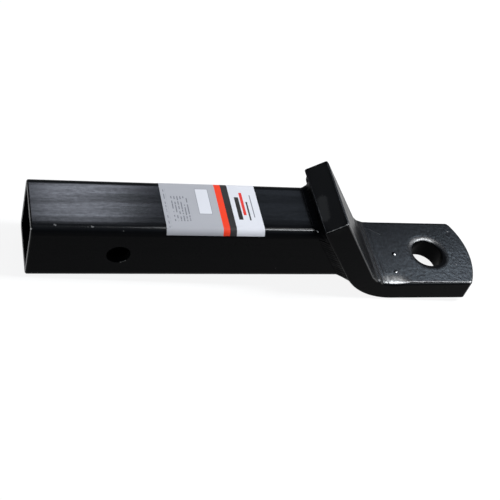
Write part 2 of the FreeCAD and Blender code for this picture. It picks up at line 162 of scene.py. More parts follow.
class ShaderGraph:
    """Short ways to wire nodes in one shader tree."""

    def __init__(self, tree: bpy.types.NodeTree) -> None:
        """Keep the tree that the nodes go into."""
        self.tree = tree

    def feed(self, socket: Socket, value: Feed) -> None:
        """Link a socket, or set its constant."""
        if isinstance(value, Socket):
            self.tree.links.new(value, socket)
        else:
            socket.default_value = value

    def node(
        self, kind: str, feeds: dict[str | int, Feed] | None = None, **settings: object
    ) -> bpy.types.Node:
        """Add a node to the tree.

        Args:
            kind: Blender's name of the node type.
            feeds: What goes into its inputs, by socket name or number.
            settings: Properties of the node.

        Returns:
            The new node.
        """
        node = self.tree.nodes.new(kind)
        for name, value in settings.items():
            setattr(node, name, value)
        for key, value in (feeds or {}).items():
            self.feed(node.inputs[key], value)
        return node

    def math(self, operation: str, first: Feed, second: Feed = 0.0, clamp: bool = False) -> Socket:
        """Value of a sum on one or two values."""
        node = self.node("ShaderNodeMath", {0: first, 1: second}, operation=operation, use_clamp=clamp)
        return node.outputs[0]

    def times(self, first: Feed, second: Feed, clamp: bool = False) -> Socket:
        """Product of two values."""
        return self.math("MULTIPLY", first, second, clamp)

    def plus(self, first: Feed, second: Feed) -> Socket:
        """Sum of two values."""
        return self.math("ADD", first, second)

    def minus(self, first: Feed, second: Feed) -> Socket:
        """First value less the second."""
        return self.math("SUBTRACT", first, second)

    def most(self, first: Feed, second: Feed, clamp: bool = False) -> Socket:
        """Larger of two values."""
        return self.math("MAXIMUM", first, second, clamp)

    def vector(self, operation: str, first: Feed, second: Feed = (0.0, 0.0, 0.0)) -> Socket:
        """Result of a sum on one or two vectors, a number for lengths and dot products."""
        node = self.node("ShaderNodeVectorMath", {0: first, 1: second}, operation=operation)
        return node.outputs["Value" if operation in ("DOT_PRODUCT", "LENGTH", "DISTANCE") else "Vector"]

    def ramp(self, value: Feed, low: Feed, high: Feed, start: float = 0.0, end: float = 1.0) -> Socket:
        """Smooth step between two ends while a value goes from low to high."""
        feeds = {"Value": value, "From Min": low, "From Max": high, "To Min": start, "To Max": end}
        return self.node("ShaderNodeMapRange", feeds, interpolation_type="SMOOTHSTEP").outputs["Result"]

    def noise(self, vector: Feed, scale: Feed, detail: float = 2.0, roughness: float = 0.5) -> Socket:
        """Cloudy value between about 0.2 and 0.8."""
        feeds = {"Vector": vector, "Scale": scale, "Detail": detail, "Roughness": roughness}
        return self.node("ShaderNodeTexNoise", feeds).outputs[0]

    def blend(self, factor: Feed, first: Feed, second: Feed) -> Socket:
        """Colour that goes from the first to the second."""
        return self.node("ShaderNodeMix", {0: factor, 6: first, 7: second}, data_type="RGBA").outputs[2]

    def shift(self, factor: Feed, first: Feed, second: Feed) -> Socket:
        """Number that goes from the first to the second."""
        return self.node("ShaderNodeMix", {0: factor, 2: first, 3: second}, data_type="FLOAT").outputs[0]

    def split(self, vector: Feed) -> Sequence[Socket]:
        """The three parts of a vector."""
        return self.node("ShaderNodeSeparateXYZ", {0: vector}).outputs

    def join(self, x: Feed, y: Feed, z: Feed) -> Socket:
        """Vector from its three parts."""
        return self.node("ShaderNodeCombineXYZ", {0: x, 1: y, 2: z}).outputs[0]

    def group(self, tree: bpy.types.NodeTree, feeds: dict[str, Feed]) -> Sockets:
        """Place a shared group and give its outputs."""
        return self.node("ShaderNodeGroup", feeds, node_tree=tree).outputs

    def surface(self, feeds: dict[str, Feed]) -> None:
        """Add the shader of the surface and wire it to the material's output."""
        shader = self.node("ShaderNodeBsdfPrincipled", feeds)
        self.node("ShaderNodeOutputMaterial", {"Surface": shader.outputs["BSDF"]})


def open_material(name: str) -> tuple[bpy.types.Material, ShaderGraph]:
    """Start a material.

    Args:
        name: Name of the material.

    Returns:
        The material and the graph of its empty tree.
    """
    material = bpy.data.materials.new(name)
    material.use_nodes = True
    material.node_tree.nodes.clear()
    return material, ShaderGraph(material.node_tree)


def add_object(name: str, data: bpy.types.ID) -> bpy.types.Object:
    """Add an object to the scene, at the origin."""
    added = bpy.data.objects.new(name, data)
    bpy.context.scene.collection.objects.link(added)
    return added


class SharedEffects:
    """Shader groups that more than one finish uses, each built once."""

    # Grains, in waves per metre or as shares of the grain that a group is given
    patch_grain: float = 0.17
    crinkle_grain: float = 8.0
    scrape_grain: float = 1100.0
    worn_grain: float = 160.0
    nibble_grain: float = 900.0
    cloud_grain: float = 38.0
    speck_grain: float = 1500.0
    dash_grain: float = 420.0
    # Spans of a cloudy value in which a mask rises
    even_span: Span = (0.3, 0.7)
    band_span: Span = (0.36, 0.64)
    worn_span: Span = (0.38, 0.58)
    nibble_span: Span = (0.25, 0.75)
    cloud_span: Span = (0.35, 0.75)
    speck_span: Span = (0.62, 0.74)
    # Shares of the patterns, and how far the rolling draws them out
    dimple_height: float = 0.6
    patch_height: float = 0.9
    crinkle_height: float = 0.2
    streak_draw: float = 0.06
    crinkle_draw: float = 0.28
    scrape_core: float = 0.45
    worn_core: float = 0.5
    nibble_width: Span = (0.45, 1.2)
    cloud_share: float = 0.6
    speck_share: float = 0.8
    # Shift of the dashes from row to row, soft edge of the ink and least length of a line, squared
    row_shift: float = 3.7
    ink_blur: float = 0.06 * MM
    least_square: float = 1e-12

    def __init__(self) -> None:
        """Build every group."""
        self.peel = self._orange_peel()
        self.streaks = self._roll_streaks()
        self.scrape = self._scrape()
        self.worn_edge = self._worn_edge()
        self.dust = self._dust()
        self.field = self._printed_field()
        self.lines = self._printed_lines()

    @staticmethod
    def _open(
        name: str, vectors: Iterable[str], values: Iterable[str], outputs: Iterable[str] = ("Mask",)
    ) -> tuple[ShaderGraph, Sockets, Sockets]:
        """Start a group.

        Args:
            name: Name of the group.
            vectors: Names of its inputs that are vectors.
            values: Names of its inputs that are values.
            outputs: Names of its outputs, all of them values.

        Returns:
            The graph, the sockets that bring the inputs in and those that take the outputs.
        """
        tree = bpy.data.node_groups.new(name, "ShaderNodeTree")
        sockets = [(socket, "INPUT", SocketKind.VECTOR) for socket in vectors]
        sockets += [(socket, "INPUT", SocketKind.VALUE) for socket in values]
        sockets += [(socket, "OUTPUT", SocketKind.VALUE) for socket in outputs]
        for socket, direction, kind in sockets:
            tree.interface.new_socket(name=socket, in_out=direction, socket_type=kind.value)
        graph = ShaderGraph(tree)
        return graph, graph.node("NodeGroupInput").outputs, graph.node("NodeGroupOutput").inputs

    def _orange_peel(self) -> bpy.types.NodeTree:
        """Dimpled skin of a sprayed or powder coat."""
        outputs = ("Height", "Dimples", "Patches")
        graph, given, made = self._open("orange_peel", ("Vector",), ("Grain",), outputs)
        fine = graph.noise(given["Vector"], given["Grain"], 1.0, 0.4)
        coarse = graph.noise(given["Vector"], graph.times(given["Grain"], self.patch_grain), 3.0)
        height = graph.plus(graph.times(fine, self.dimple_height), graph.times(coarse, self.patch_height))
        graph.feed(made["Height"], height)
        graph.feed(made["Dimples"], graph.ramp(fine, *self.even_span))
        graph.feed(made["Patches"], graph.ramp(coarse, *self.even_span))
        return graph.tree

    def _roll_streaks(self) -> bpy.types.NodeTree:
        """Lengthwise marks that the rolling mill leaves, along the vector's own X."""
        outputs = ("Height", "Bands", "Wrinkles")
        graph, given, made = self._open("roll_streaks", ("Vector",), ("Grain",), outputs)
        x, y, z = graph.split(given["Vector"])
        drawn_out = graph.join(graph.times(x, self.streak_draw), y, z)
        short = graph.join(graph.times(x, self.crinkle_draw), y, z)
        bands = graph.noise(drawn_out, given["Grain"], 3.0, 0.6)
        crinkle = graph.noise(short, graph.times(given["Grain"], self.crinkle_grain), 2.0, 0.6)
        graph.feed(made["Height"], graph.plus(bands, graph.times(crinkle, self.crinkle_height)))
        graph.feed(made["Bands"], graph.ramp(bands, *self.band_span))
        graph.feed(made["Wrinkles"], graph.ramp(crinkle, *self.even_span))
        return graph.tree

    def _scrape(self) -> bpy.types.NodeTree:
        """Ragged mark along a line, or a spot where its two ends are one place."""
        graph, given, made = self._open("scrape", ("Vector", "Start", "End"), ("Width", "Ragged"))
        reach = graph.vector("SUBTRACT", given["End"], given["Start"])
        offset = graph.vector("SUBTRACT", given["Vector"], given["Start"])
        square = graph.most(graph.vector("DOT_PRODUCT", reach, reach), self.least_square)
        share = graph.math("DIVIDE", graph.vector("DOT_PRODUCT", offset, reach), square, clamp=True)
        foot = graph.vector("MULTIPLY", reach, graph.join(share, share, share))
        gap = graph.vector("DISTANCE", offset, foot)
        wander = graph.minus(graph.noise(given["Vector"], self.scrape_grain), 0.5)
        ragged = graph.plus(gap, graph.times(wander, given["Ragged"]))
        core = graph.times(given["Width"], self.scrape_core)
        graph.feed(made["Mask"], graph.ramp(ragged, core, given["Width"], 1.0, 0.0))
        return graph.tree

    def _worn_edge(self) -> bpy.types.NodeTree:
        """Paint rubbed off in places along an edge, from the distance to that edge."""
        graph, given, made = self._open("worn_edge", ("Vector",), ("Gap", "Width"))
        patches = graph.ramp(graph.noise(given["Vector"], self.worn_grain, 3.0), *self.worn_span)
        cloud = graph.noise(given["Vector"], self.nibble_grain)
        nibble = graph.ramp(cloud, *self.nibble_span, *self.nibble_width)
        width = graph.times(given["Width"], graph.times(patches, nibble))
        core = graph.times(width, self.worn_core)
        graph.feed(made["Mask"], graph.ramp(given["Gap"], core, width, 1.0, 0.0))
        return graph.tree

    def _dust(self) -> bpy.types.NodeTree:
        """Thin dust that lies on faces that look up."""
        graph, given, made = self._open("dust", ("Vector",), ("Up", "Amount"))
        clouds = graph.ramp(graph.noise(given["Vector"], self.cloud_grain, 4.0, 0.6), *self.cloud_span)
        specks = graph.ramp(graph.noise(given["Vector"], self.speck_grain, 1.0), *self.speck_span)
        film = graph.plus(graph.times(clouds, self.cloud_share), graph.times(specks, self.speck_share))
        lying = graph.times(film, graph.most(given["Up"], 0.0))
        graph.feed(made["Mask"], graph.times(lying, given["Amount"], clamp=True))
        return graph.tree

    def _printed_field(self) -> bpy.types.NodeTree:
        """Rectangle of print, seen from above."""
        graph, given, made = self._open("printed_field", ("Vector", "Centre", "Half"), ())
        offset = graph.vector("ABSOLUTE", graph.vector("SUBTRACT", given["Vector"], given["Centre"]))
        x, y, _ = graph.split(graph.vector("SUBTRACT", offset, given["Half"]))
        graph.feed(made["Mask"], graph.ramp(graph.most(x, y), -self.ink_blur, self.ink_blur, 1.0, 0.0))
        return graph.tree

    def _printed_lines(self) -> bpy.types.NodeTree:
        """Rows of broken dashes across the label."""
        graph, given, made = self._open("printed_lines", ("Vector",), ("Pitch", "Share", "Break"))
        x, y, _ = graph.split(given["Vector"])
        row = graph.math("DIVIDE", x, given["Pitch"])
        inked = graph.math("LESS_THAN", graph.math("FRACT", row), given["Share"])
        shifted = graph.times(graph.math("FLOOR", row), self.row_shift)
        seed = graph.join(shifted, graph.times(y, self.dash_grain), 0.5)
        whole = graph.math("GREATER_THAN", graph.noise(seed, 1.0, 1.0), given["Break"])
        graph.feed(made["Mask"], graph.times(inked, whole))
        return graph.tree


EFFECTS = SharedEffects()


@dataclass(frozen=True)
class Mark:
    """Spot or scrape of bare metal, in millimetres of the mount's frame: damaged paint, and in some places
    a painted highlight or sheen.
    """

    start: Point
    end: Point | None = None
    width: float = 0.6
    ragged: float = 0.5
    wear_and_glint: float = 1.0

    def mask(self, graph: ShaderGraph, point: Feed) -> Socket:
        """How much bare metal the mark shows: worn paint, and in some marks a painted highlight.

        Args:
            graph: Graph of the material.
            point: Object coordinates.

        Returns:
            A value from 0 to the mark's bareness.
        """
        feeds = {
            "Vector": point,
            "Start": tuple(part * MM for part in self.start),
            "End": tuple(part * MM for part in self.end or self.start),
            "Width": self.width * MM,
            "Ragged": self.ragged * MM,
        }
        return graph.times(graph.group(EFFECTS.scrape, feeds)["Mask"], self.wear_and_glint)


@dataclass(frozen=True)
class BlackPaint:
    """Satin black paint over steel, with orange peel, dust and places worn to bare metal, some of which are
    painted highlights.
    """

    name: str
    colour: Colour = (0.0034, 0.0036, 0.0041, 1.0)
    dust_colour: Colour = (0.05, 0.052, 0.056, 1.0)
    bare_and_glint_colour: Colour = (0.42, 0.42, 0.41, 1.0)
    roughness: float = 0.27
    dull_roughness: float = 0.36
    bare_roughness: float = 0.42
    specular: float = 0.02
    film: float = 0.9
    film_roughness: float = 0.2
    film_ior: float = 1.85
    film_start: float = 0.72
    film_full: float = 0.95
    film_break: float = 0.12
    hung: Point = (0.0, 0.0, 1.0)
    peel_grain: float = 620.0
    peel_height: float = 0.05 * MM
    dust_amount: float = 0.03
    marks: tuple[Mark, ...] = ()

    def wear_and_painted_glints(self, graph: ShaderGraph, point: Feed) -> Socket | float:
        """Mask of the bare metal, both worn places and painted highlights.

        Args:
            graph: Graph of the material.
            point: Object coordinates.

        Returns:
            The strongest of the marks at each place.
        """
        worn_and_glint: Socket | float = 0.0
        for mark in self.marks:
            worn_and_glint = graph.most(worn_and_glint, mark.mask(graph, point))
        return worn_and_glint

    def relief(self, graph: ShaderGraph, point: Feed, skin: Socket) -> Socket:
        """Height of the skin, in shares of peel_height."""
        return skin

    def gloss(self, graph: ShaderGraph, point: Feed, normal: Feed, dimples: Feed) -> Socket:
        """Share of the clear film that paint forms where it lies level while it dries.

        Args:
            graph: Graph of the material.
            point: Object coordinates; not used here, only where a finish overrides this.
            normal: Direction that the surface looks in.
            dimples: Mask of the dimples of the skin.

        Returns:
            The weight of the film, broken up by the dimples.
        """
        facing = graph.vector("DOT_PRODUCT", normal, self.hung)
        level = graph.ramp(facing, self.film_start, self.film_full, 0.0, self.film)
        broken = graph.shift(dimples, 1.0 - self.film_break, 1.0 + 0.5 * self.film_break)
        return graph.times(level, broken, clamp=True)

    def material(self) -> bpy.types.Material:
        """Build the material.

        Returns:
            A material that reads object coordinates.
        """
        material, graph = open_material(self.name)
        place = graph.node("ShaderNodeTexCoord")
        point = place.outputs["Object"]
        peel = graph.group(EFFECTS.peel, {"Vector": point, "Grain": self.peel_grain})
        normal = place.outputs["Normal"]
        up = graph.split(normal)[2]
        dust = graph.group(EFFECTS.dust, {"Vector": point, "Up": up, "Amount": self.dust_amount})["Mask"]
        # Bare metal from wear, and from marks that are painted highlights and sheen
        worn_and_glint = self.wear_and_painted_glints(graph, point)
        painted = graph.blend(dust, self.colour, self.dust_colour)
        dulled = graph.shift(peel["Patches"], self.roughness, self.dull_roughness)
        skin = self.relief(graph, point, peel["Height"])
        bump = graph.node("ShaderNodeBump", {"Distance": self.peel_height, "Height": skin})
        graph.surface(
            {
                "Base Color": graph.blend(worn_and_glint, painted, self.bare_and_glint_colour),
                "Metallic": worn_and_glint,
                "Roughness": graph.shift(worn_and_glint, dulled, self.bare_roughness),
                "Specular IOR Level": self.specular,
                "Coat Weight": self.gloss(graph, point, normal, peel["Dimples"]),
                "Coat Roughness": self.film_roughness,
                "Coat IOR": self.film_ior,
                "Normal": bump.outputs["Normal"],
            }
        )
        return material


@dataclass(frozen=True)
class FilmStep:
    """Change of the film across the tube, from one share to another between two places in millimetres."""

    low: float
    high: float
    before: float
    after: float


@dataclass(frozen=True)
class ShankPaint(BlackPaint):
    """Paint on the drawn tube: rolling streaks along it, and rubbed edges at the open end."""

    film_start: float = 0.90
    film_full: float = 0.985
    film_break: float = 0.08
    film_roughness: float = 0.18
    film_across: tuple[FilmStep, ...] = (
        FilmStep(-18.0, -16.2, 0.3, 1.0),
        FilmStep(-13.5, -10.5, 0.45, 1.0),
        FilmStep(12.0, 14.5, 1.0, 1.5),
        FilmStep(17.4, 19.0, 1.0, 0.1),
    )
    band_film: Span = (0.5, 1.1)
    wrinkle_film: Span = (0.78, 1.12)
    corner_film: float = 0.22
    corner_facing: Span = (0.6, 0.9)
    corner_blur: float = 1.0 * MM
    peel_height: float = 0.03 * MM
    streak_grain: float = 85.0
    streak_share: float = 3.6
    rim_width: float = 0.6 * MM
    rim_bareness: float = 0.26

    def relief(self, graph: ShaderGraph, point: Feed, skin: Socket) -> Socket:
        """Orange peel with the rolling streaks added."""
        streaks = graph.group(EFFECTS.streaks, {"Vector": point, "Grain": self.streak_grain})["Height"]
        return graph.plus(skin, graph.times(streaks, self.streak_share))

    def gloss(self, graph: ShaderGraph, point: Feed, normal: Feed, dimples: Feed) -> Socket:
        """Film that the streaks break up, that changes across the tube and runs down the near corner."""
        streaks = graph.group(EFFECTS.streaks, {"Vector": point, "Grain": self.streak_grain})
        film = super().gloss(graph, point, normal, dimples)
        film = graph.times(film, graph.shift(streaks["Bands"], *self.band_film))
        film = graph.times(film, graph.shift(streaks["Wrinkles"], *self.wrinkle_film))
        _, y, z = graph.split(point)
        for step in self.film_across:
            film = graph.times(film, graph.ramp(y, step.low * MM, step.high * MM, step.before, step.after))
        facing = graph.vector("DOT_PRODUCT", normal, self.hung)
        run = graph.ramp(facing, *self.corner_facing, 0.0, self.corner_film)
        core = PLACES.shank_half - SHANK_CORNER
        near_side = graph.ramp(y, -core - self.corner_blur, -core + self.corner_blur, 1.0, 0.0)
        outside = graph.ramp(z, 0.0, PLACES.shank_half - SHANK_WALL)
        return graph.times(graph.most(film, graph.times(run, near_side)), outside, clamp=True)

    def wear_and_painted_glints(self, graph: ShaderGraph, point: Feed) -> Socket:
        """Marks, and bare metal along both edges of the open end."""
        x, y, z = graph.split(point)
        across = graph.most(graph.math("ABSOLUTE", y), graph.math("ABSOLUTE", z))
        from_end = graph.minus(x, PLACES.open_end)
        worn_and_glint: Socket | float = super().wear_and_painted_glints(graph, point)
        for edge in (PLACES.shank_half - SHANK_WALL, PLACES.shank_half):
            gap = graph.vector("LENGTH", graph.join(graph.minus(across, edge), from_end, 0.0))
            feeds = {"Vector": point, "Gap": gap, "Width": self.rim_width}
            rim = graph.group(EFFECTS.worn_edge, feeds)["Mask"]
            worn_and_glint = graph.most(worn_and_glint, graph.times(rim, self.rim_bareness))
        return worn_and_glint


@dataclass(frozen=True)
class BarPaint(BlackPaint):
    """Paint on the bent bar: it hung at a slant while it dried, so the film is thicker on the near side."""

    film_start: float = 0.86
    film_full: float = 0.945
    film_break: float = 0.3
    film_roughness: float = 0.26
    hung: Point = (0.05, -0.30, 0.953)
    peel_grain: float = 430.0
    near_film: float = 1.3
    far_film: float = 0.6
    edge_film: float = 0.8
    edge_fade: float = 4.0 * MM
    run_film: float = 0.4
    run_width: float = 16.0 * MM
    # Spans of the normal's forward and sideways parts in which the film comes or goes
    leaning_span: Span = (0.1, 0.3)
    steep_span: Span = (0.6, 0.8)
    side_span: Span = (-0.95, -0.75)
    top_span: Span = (-0.3, -0.08)

    def gloss(self, graph: ShaderGraph, point: Feed, normal: Feed, dimples: Feed) -> Socket:
        """Film that thickens towards the near side, and runs down the arm's edge and the bend there."""
        plain = super().gloss(graph, point, normal, dimples)
        half = PLACES.bar_half
        bend = PLACES.bend_centre.x
        along, across, _ = graph.split(point)
        forward, sideways, _ = graph.split(normal)
        film = graph.times(plain, graph.ramp(across, -half, half, self.near_film, self.far_film))
        leaning = graph.ramp(forward, *self.leaning_span)
        off_top = graph.ramp(sideways, *self.top_span, 1.0, 0.0)
        rounded = graph.times(off_top, graph.ramp(sideways, *self.side_span))
        behind = graph.ramp(along, bend - self.edge_fade, bend, self.edge_film, 0.0)
        edge = graph.times(graph.times(leaning, rounded), behind)
        beside = graph.ramp(across, -half, self.run_width - half, self.run_film, 0.0)
        curved = graph.times(leaning, graph.ramp(forward, *self.steep_span, 1.0, 0.0))
        return graph.most(film, graph.most(edge, graph.times(beside, curved)), clamp=True)


@dataclass(frozen=True)
class PrintBlock:
    """Plain printed shape on the label, in millimetres: a bar, or rows of dashes."""

    centre: tuple[float, float]
    half: tuple[float, float]
    colour: Colour
    pitch: float = 0.0
    share: float = 0.45
    breaks: float = 0.0

    def mask(self, graph: ShaderGraph, point: Feed) -> Socket:
        """Where this shape's ink lies.

        Args:
            graph: Graph of the material.
            point: Object coordinates.

        Returns:
            A value from 0 to 1.
        """
        feeds = {
            "Vector": point,
            "Centre": (self.centre[0] * MM, self.centre[1] * MM, 0.0),
            "Half": (self.half[0] * MM, self.half[1] * MM, 1.0),
        }
        field_mask = graph.group(EFFECTS.field, feeds)["Mask"]
        if not self.pitch:
            return field_mask
        rows = {"Vector": point, "Pitch": self.pitch * MM, "Share": self.share, "Break": self.breaks}
        return graph.times(field_mask, graph.group(EFFECTS.lines, rows)["Mask"])


GREY_SHEET: Colour = (0.44, 0.437, 0.455, 1.0)
WHITE_SHEET: Colour = (0.74, 0.735, 0.76, 1.0)
ORANGE_INK: Colour = (0.92, 0.06, 0.022, 1.0)
CHARCOAL_INK: Colour = (0.033, 0.030, 0.029, 1.0)
RED_INK: Colour = (0.75, 0.05, 0.04, 1.0)
FAINT_INK: Colour = (0.2, 0.2, 0.22, 1.0)


@dataclass(frozen=True)
class LabelPrint:
    """Printed sheet: bands of colour along the shank, with dashes, a blank panel and plain bars."""

    name: str = "printed_label"
    grey_end: float = 71.6
    orange_end: float = 76.5
    charcoal_end: float = 81.5
    roughness: float = 0.42
    roughness_swing: float = 0.12
    specular: float = 0.08
    ripple_grain: float = 120.0
    ripple_height: float = 0.05 * MM
    rub_grain: float = 60.0
    rub_span: Span = (0.4, 0.7)
    rub_most: float = 0.05
    blocks: tuple[PrintBlock, ...] = (
        PrintBlock((33.4, -2.0), (0.9, 19.0), FAINT_INK, 1.8, 0.4, 0.5),
        PrintBlock((44.0, -3.0), (6.6, 12.0), FAINT_INK, 2.2, 0.36, 0.46),
        PrintBlock((61.2, 4.5), (4.9, 12.3), FAINT_INK),
        PrintBlock((61.2, 4.5), (4.6, 12.0), WHITE_SHEET),
        PrintBlock((86.6, -1.5), (1.6, 11.0), CHARCOAL_INK),
        PrintBlock((90.4, 3.0), (1.1, 11.0), RED_INK),
        PrintBlock((93.6, -4.0), (0.6, 9.0), CHARCOAL_INK),
        PrintBlock((97.2, 1.0), (0.35, 11.0), FAINT_INK),
    )

    def bands(self, graph: ShaderGraph, along: Feed) -> Socket:
        """Colour of the bands.

        Args:
            graph: Graph of the material.
            along: Place along the shank, in metres.

        Returns:
            The colour under the print.
        """
        colour: Feed = GREY_SHEET
        for edge, following in (
            (self.grey_end, ORANGE_INK),
            (self.orange_end, CHARCOAL_INK),
            (self.charcoal_end, WHITE_SHEET),
        ):
            colour = graph.blend(graph.math("GREATER_THAN", along, edge * MM), colour, following)
        return colour

    def material(self) -> bpy.types.Material:
        """Build the material.

        Returns:
            A material that reads object coordinates.
        """
        material, graph = open_material(self.name)
        point = graph.node("ShaderNodeTexCoord").outputs["Object"]
        colour = self.bands(graph, graph.split(point)[0])
        for block in self.blocks:
            colour = graph.blend(block.mask(graph, point), colour, block.colour)
        ripple = graph.noise(point, self.ripple_grain, 3.0)
        rubbed = graph.ramp(graph.noise(point, self.rub_grain, 4.0), *self.rub_span, 0.0, self.rub_most)
        bump = graph.node("ShaderNodeBump", {"Distance": self.ripple_height, "Height": ripple})
        smoothest = self.roughness - self.roughness_swing / 2
        graph.surface(
            {
                "Base Color": graph.blend(rubbed, colour, FAINT_INK),
                "Roughness": graph.plus(graph.times(ripple, self.roughness_swing), smoothest),
                "Specular IOR Level": self.specular,
                "Normal": bump.outputs["Normal"],
            }
        )
        return material


def merged_shape(node: str) -> Shape:
    """Copy of a CAD node's skin with its loose triangles merged.

    Args:
        node: Name of the node.

    Returns:
        A closed mesh in the mount's frame.
    """
    shape = bmesh.new()
    shape.from_mesh(frame["nodes"][node].data)
    bmesh.ops.remove_doubles(shape, verts=shape.verts, dist=MERGE_GAP)
    return shape


def make_piece(name: str, shape: Shape, sharp_angle: float) -> bpy.types.Object:
    """Turn a finished shape into a piece of the mount.

    Args:
        name: Name of the piece.
        shape: Its mesh, which is freed.
        sharp_angle: Edges sharper than this, in degrees, stay sharp.

    Returns:
        The piece, riding on the mount's body.
    """
    mesh = bpy.data.meshes.new(name)
    shape.to_mesh(mesh)
    shape.free()
    for attribute in ("custom_normal", "sharp_edge", "sharp_face"):
        if attribute in mesh.attributes:
            mesh.attributes.remove(mesh.attributes[attribute])
    mesh.shade_smooth()
    mesh.set_sharp_from_angle(angle=math.radians(sharp_angle))
    piece = add_object(name, mesh)
    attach(piece, BODY)
    return piece


def dress(piece: bpy.types.Object, material: bpy.types.Material) -> None:
    """Give a piece one material all over."""
    piece.data.materials.clear()
    piece.data.materials.append(material)


def smooth_step(value: float, low: float, high: float) -> float:
    """Smooth rise from 0 to 1 while a value goes from low to high."""
    share = min(1.0, max(0.0, (value - low) / (high - low)))
    return share * share * (3.0 - 2.0 * share)


def sweep(shape: Shape, sections: Sequence[Matrix], segments: int) -> None:
    """Skin a run of unit circles, each carried to its place by a matrix, and close both ends.

    Args:
        shape: Mesh that the run is added to.
        sections: Matrices of the circles, in order.
        segments: Corners of a circle.
    """
    verts = bmesh.ops.create_circle(shape, segments=segments, radius=1.0, matrix=sections[0])["verts"]
    edges = list({edge for vert in verts for edge in vert.link_edges})
    skin = set(verts)
    for before, after in pairwise(sections):
        grown = bmesh.ops.extrude_edge_only(shape, edges=edges)["geom"]
        verts = [item for item in grown if isinstance(item, bmesh.types.BMVert)]
        fresh = set(verts)
        skin |= fresh
        grown_edges = [item for item in grown if isinstance(item, bmesh.types.BMEdge)]
        edges = [edge for edge in grown_edges if fresh.issuperset(edge.verts)]
        bmesh.ops.transform(shape, matrix=after @ before.inverted(), verts=verts)
    skin_edges = list({edge for vert in skin for edge in vert.link_edges})
    bmesh.ops.holes_fill(shape, edges=skin_edges, sides=segments)
    bmesh.ops.recalc_face_normals(shape, faces=list({face for vert in skin for face in vert.link_faces}))


@dataclass
class ShankTube:
    """Square tube, shown as the CAD node with its paint."""

    node: str = "shank_tube"
    paint: ShankPaint = ShankPaint(
        name="shank_paint",
        marks=(
            Mark((-46.5, -20.0, 24.9), (-45.9, -20.4, 24.8), 0.8, 0.9, 0.32),
            Mark((-21.5, -21.1, 24.6), (-20.9, -21.3, 24.6), 0.8, 0.9, 0.28),
            Mark((-24.2, -21.3, 24.5), None, 0.5, 0.6, 0.12),
            Mark((0.1, -23.3, 23.2), None, 0.6, 0.6, 0.18),
            Mark((-61.6, -20.0, 20.6), (-61.8, -22.6, 23.0), 0.8, 0.8, 0.9),
            # Bright arc on the near lower rim of the pin hole: a painted glint, drawn as bare metal
            Mark((2.6, -25.0, -8.1), (6.0, -25.0, -6.0), 0.45, 0.4, 0.4),
            Mark((120.5, -25.0, -13.8), None, 0.6, 0.5, 0.12),
        ),
    )

    def build(self) -> bpy.types.Object:
        """Dress the tube."""
        piece = frame["nodes"][self.node]
        dress(piece, self.paint.material())
        return piece


